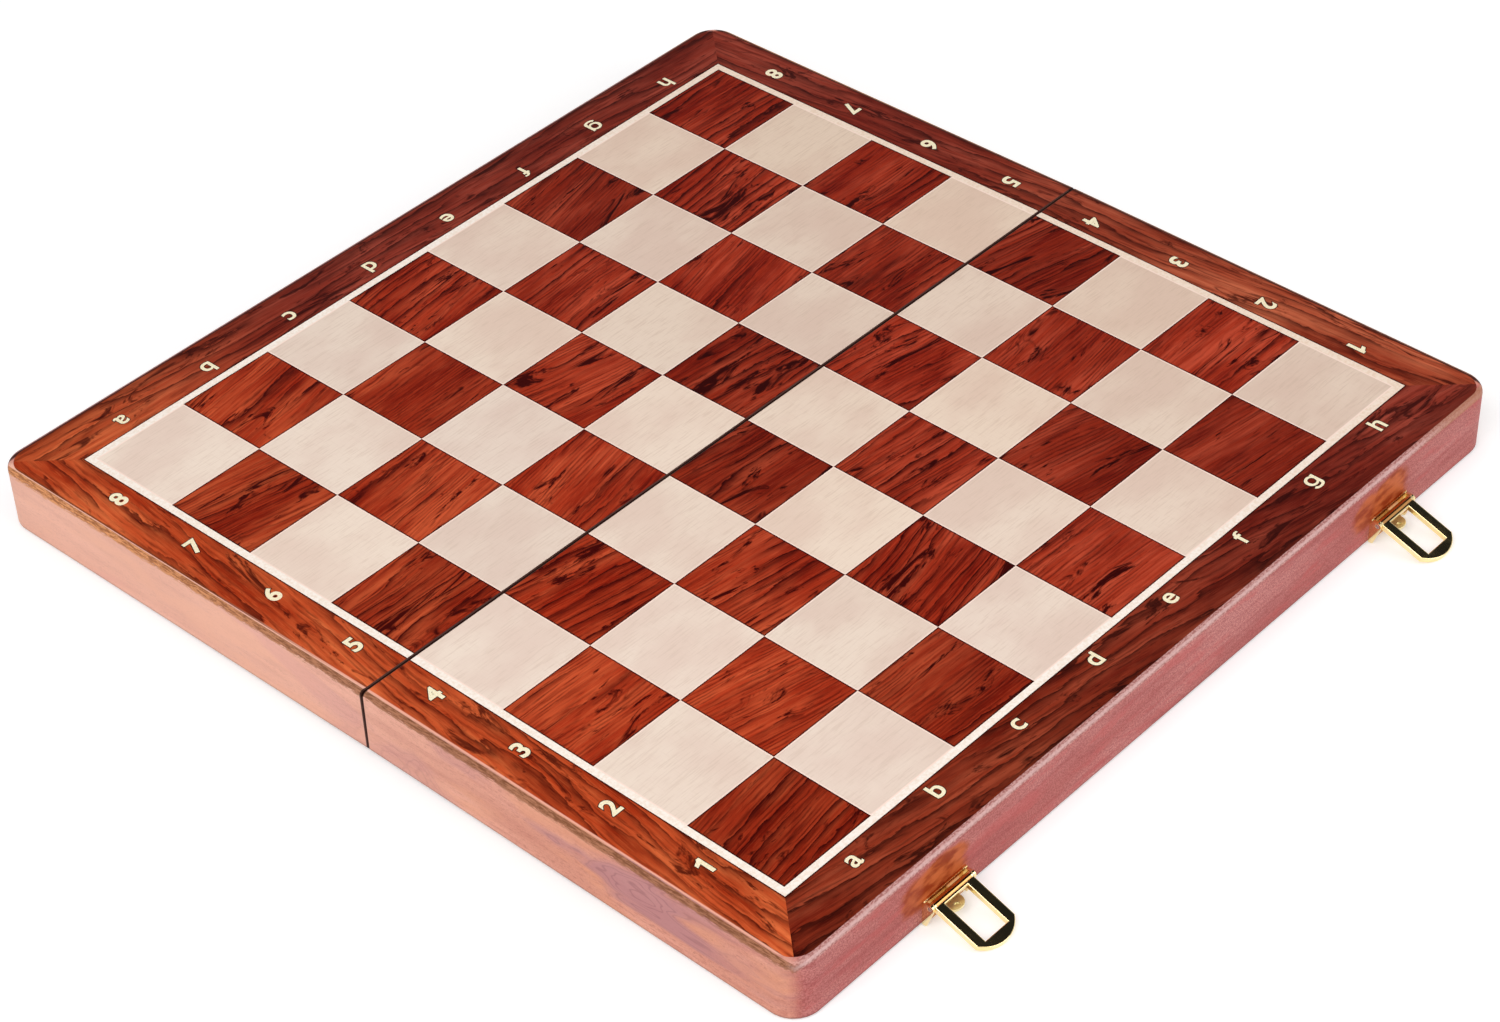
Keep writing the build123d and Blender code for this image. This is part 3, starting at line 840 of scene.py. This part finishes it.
def lettering(name, row, grow, thickness, material):
    """One piece with a row of signs on the surface.

    The letters at the back and the numbers on the right are turned round.
    """
    title, signs, first, step, distance = row
    turned = title == "back_letters" or "right" in title
    turn = Matrix.Rotation(math.pi if turned else 0, 4, "Z")
    whole = bmesh.new()
    for index, sign in enumerate(signs):
        weight = number_weight if sign.isdigit() else letter_weight
        x, y = sign_place(title, first, step, distance, index)
        mesh = sign_mesh(sign, weight + grow, thickness)
        mesh.transform(on_surface(x, y, thickness / 2) @ turn)
        whole.from_mesh(mesh)
        bpy.data.meshes.remove(mesh)
    mesh = bpy.data.meshes.new(name)
    whole.to_mesh(mesh)
    whole.free()
    add_object(name, mesh, material, f"{title.split('_')[0]}_half")


def all_lettering():
    """Letters along ranks 1 and 8 and numbers at both sides, in foil over a thin dark outline."""
    foil, edge = letter_foil(), letter_edge()
    for row in ROWS:
        lettering(row[0], row, 0, foil_thickness, foil)
        lettering(f"{row[0]}_outline", row, outline_width, outline_thickness, edge)


# Fitted trays and linings inside each half, with the sizes of the solids that they replace
tray_side_gap = 0.3 * MM
slot_width = 30.0 * MM
slot_length = 84.0 * MM
bay_length = 52.0 * MM
bay_end_wall = 14.0 * MM
well_corner = 4.0 * MM
tray_round = 1.2 * MM
corner_steps = 6
lining_ripple = 0.05 * MM
lining_cells = 90


def rounded_outline(x0, x1, y0, y1, radius):
    """Points round a rectangle with rounded corners."""
    points = []
    left, right, low, high = x0 + radius, x1 - radius, y0 + radius, y1 - radius
    corners = [(right, high), (left, high), (left, low), (right, low)]
    for quarter, (x, y) in enumerate(corners):
        for step in range(corner_steps + 1):
            angle = (quarter + step / corner_steps) * math.pi / 2
            points.append((x + radius * math.cos(angle), y + radius * math.sin(angle)))
    return points


def tray_wells(low, high):
    """Plan boxes of the wells: eight slots in a row and one long bay beyond them."""
    near, far = low.y - tray_side_gap, high.y + tray_side_gap
    inner = high.x + tray_side_gap
    wall = (far - near - slot_length - bay_length) / 3
    bay_near = near + 2 * wall + slot_length
    wells = []
    for file in range(8):
        start = (file - 3.5) * inner / 4 - slot_width / 2
        wells.append((start, start + slot_width, near + wall, near + wall + slot_length))
    wells.append((bay_end_wall - inner, inner - bay_end_wall, bay_near, bay_near + bay_length))
    return wells


def depth_box(half, kind):
    """The box of a half's node, with depth from the seam as its Y."""
    low, high = level_box(f"{half}_{kind}")
    if half == "front":
        low.y, high.y = -high.y, -low.y
    return low, high


def tray_mesh(side, low, high):
    """Foam with rounded, flocked edges at every well."""
    curve = flat_curve("tray")
    curve.extrude = (high.z - low.z) / 2 - tray_round
    curve.bevel_depth = tray_round
    curve.bevel_resolution = 3
    curve.offset = -tray_round
    outlines = [(low.x, high.x, low.y, high.y)] + tray_wells(low, high)
    for x0, x1, near, far in outlines:
        y0, y1 = sorted((side * near, side * far))
        add_outline(curve, rounded_outline(x0, x1, y0, y1, well_corner))
    mesh = mesh_of_curve(curve)
    mesh.transform(half_frame(side) @ Matrix.Translation((0, 0, (low.z + high.z) / 2)))
    return mesh


def lining_mesh(side, low, high):
    """A felt sheet on the core board, with the slight ripple of glued cloth."""
    cloth_mesh = bmesh.new()
    bmesh.ops.create_grid(cloth_mesh, x_segments=2 * lining_cells, y_segments=lining_cells, size=0.5)
    width, length, thickness = high.x - low.x, high.y - low.y, high.z - low.z
    for vertex in cloth_mesh.verts:
        vertex.co.x *= width
        vertex.co.y *= length
        vertex.co.z = random.uniform(0, lining_ripple)
    bmesh.ops.solidify(cloth_mesh, geom=list(cloth_mesh.faces), thickness=thickness - 2 * lining_ripple)
    lowest = min(vertex.co.z for vertex in cloth_mesh.verts)
    middle = Vector(((low.x + high.x) / 2, side * (low.y + high.y) / 2, low.z - lowest))
    mesh = bpy.data.meshes.new("lining")
    cloth_mesh.to_mesh(mesh)
    cloth_mesh.free()
    mesh.transform(half_frame(side) @ Matrix.Translation(middle))
    return mesh


def line_boxes():
    """Puts the flocked tray and the felt in each half."""
    random.seed(8)
    felt = cloth("felt", colour(28, 74, 44), colour(52, 108, 66), 1500)
    flock = cloth("flocked_foam", colour(24, 62, 38), colour(46, 96, 58), 2200)
    for half, side in SIDES.items():
        body = f"{half}_half"
        low, high = depth_box(half, "tray")
        mesh = tray_mesh(side, low, high)
        tray = add_object(f"{half}_flocked_tray", mesh, flock, body)
        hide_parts(f"{half}_tray")
        low, high = depth_box(half, "lining")
        mesh = lining_mesh(side, low, high)
        lining = add_object(f"{half}_felt_lining", mesh, felt, body)
        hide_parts(f"{half}_lining")


def dress_wood():
    """Gives every wooden node its veneer or rail wood."""
    dark, light, line = dark_veneer(), light_veneer(), stringing_wood()
    rail, core = rail_wood(), core_board()
    left = border_veneer("left_border_veneer", ORANGE_BROWN, ORANGE_BROWN,
                         turn=(-4, 4), along_x=False, slant=7, seed=3.1)
    right = border_veneer("right_border_veneer", WARM_BROWN, MAROON,
                          turn=(-3, 2), along_x=False, slant=-4, seed=8.3)
    front = border_veneer("front_border_veneer", RED_BROWN, MAROON,
                          turn=(-2, 4), along_x=True, slant=8, seed=5.2)
    back = border_veneer("back_border_veneer", ORANGE_BROWN, MAROON,
                         turn=(-5, -1), along_x=True, slant=3, seed=1.4)
    dress("front_border", front)
    dress("back_border", back)
    for half in SIDES:
        dress(f"{half}_dark_squares", dark)
        dress(f"{half}_light_squares", light)
        dress(f"{half}_stringing", line)
        dress(f"{half}_core_panel", core)
        dress(f"{half}_left_border", left)
        dress(f"{half}_right_border", right)
        for place in ("rail", "seam_rail", "left_rail", "right_rail"):
            dress(f"{half}_{place}", rail)


def dress_metal():
    """Gives every metal node its brass or steel."""
    brass, screws, steel = polished_brass(), screw_brass(), pin_steel()
    for node in nodes:
        if "screws" in node:
            dress(node, screws)
        elif "_pin_" in node:
            dress(node, steel)
        elif "hinge_leaf" in node or "latch" in node or "strike" in node:
            dress(node, brass)


def make_camera():
    """A plain camera that stands and looks as the photograph's did."""
    data = bpy.data.cameras.new("camera")
    data.sensor_width = 36.0
    data.lens = camera_lens
    data.clip_start, data.clip_end = 0.05, 50.0
    holder = bpy.data.objects.new("camera", data)
    holder.location = camera_place
    holder.rotation_euler = [math.radians(angle) for angle in camera_turn]
    bpy.context.scene.collection.objects.link(holder)
    bpy.context.scene.camera = holder


def add_lamp(name, place, size, power):
    """A rectangular lamp aimed at the middle of the board."""
    data = bpy.data.lights.new(name, "AREA")
    data.shape = "RECTANGLE"
    data.size, data.size_y = size
    data.energy = power
    holder = bpy.data.objects.new(name, data)
    holder.location = place
    holder.rotation_mode = "QUATERNION"
    holder.rotation_quaternion = (-Vector(place)).to_track_quat("-Z", "Y")
    bpy.context.scene.collection.objects.link(holder)


def make_world():
    """Soft light from all round, white behind the board and a dark ceiling in the metal."""
    world = bpy.data.worlds.new("world")
    world.use_nodes = True
    bpy.context.scene.world = world
    sky = Tree(world.node_tree)
    sky.tree.nodes.clear()
    height = sky.separate(sky.node("ShaderNodeTexCoord").outputs["Generated"])[2]
    soft = sky.background(1.0, world_light)
    white = sky.background(1.0, 1.0)
    mirrored = sky.background(0.8, sky.ramp(height, 0.6, 0.72, 1.0, 0.02))
    path = sky.light_path()
    shiny = sky.math("MAXIMUM", path["Is Glossy Ray"], path["Is Transmission Ray"])
    unseen = sky.mix_shaders(shiny, soft, mirrored)
    seen = sky.mix_shaders(path["Is Camera Ray"], unseen, white)
    sky.feed(seen, sky.node("ShaderNodeOutputWorld").inputs[0])


def make_floor():
    """A large pale floor that keeps the object's shadow and reads as white."""
    mesh = bpy.data.meshes.new("floor")
    corners = [(x * floor_size, y * floor_size, 0) for x, y in ((-1, -1), (1, -1), (1, 1), (-1, 1))]
    mesh.from_pydata(corners, [], [(0, 1, 2, 3)])
    floor = bpy.data.objects.new("floor", mesh)
    bpy.context.scene.collection.objects.link(floor)
    graph = Graph("floor")
    graph.set(Base_Color=(floor_tone, floor_tone, floor_tone, 1))
    graph.set(Roughness=0.9, Specular_IOR_Level=0.0)
    path = graph.light_path()
    seen = graph.math("MAXIMUM", path["Is Camera Ray"], path["Is Glossy Ray"])
    seen = graph.math("MAXIMUM", seen, path["Is Transmission Ray"])
    glow = graph.fed("ShaderNodeEmission", [WHITE, graph.math("MULTIPLY", seen, floor_glow)])[0]
    both = graph.fed("ShaderNodeAddShader", [graph.shader.outputs[0], glow])[0]
    graph.feed(both, graph.output.inputs[0])
    mesh.materials.append(graph.material)


def light_up():
    """The world, the floor and the lamps, with colours shown as they are written."""
    bpy.context.scene.view_settings.view_transform = "Standard"
    make_world()
    make_floor()
    for name, place, size, power in LAMPS:
        add_lamp(name, place, size, power)


make_camera()
light_up()
dress_wood()
dress_metal()
line_boxes()
all_lettering()
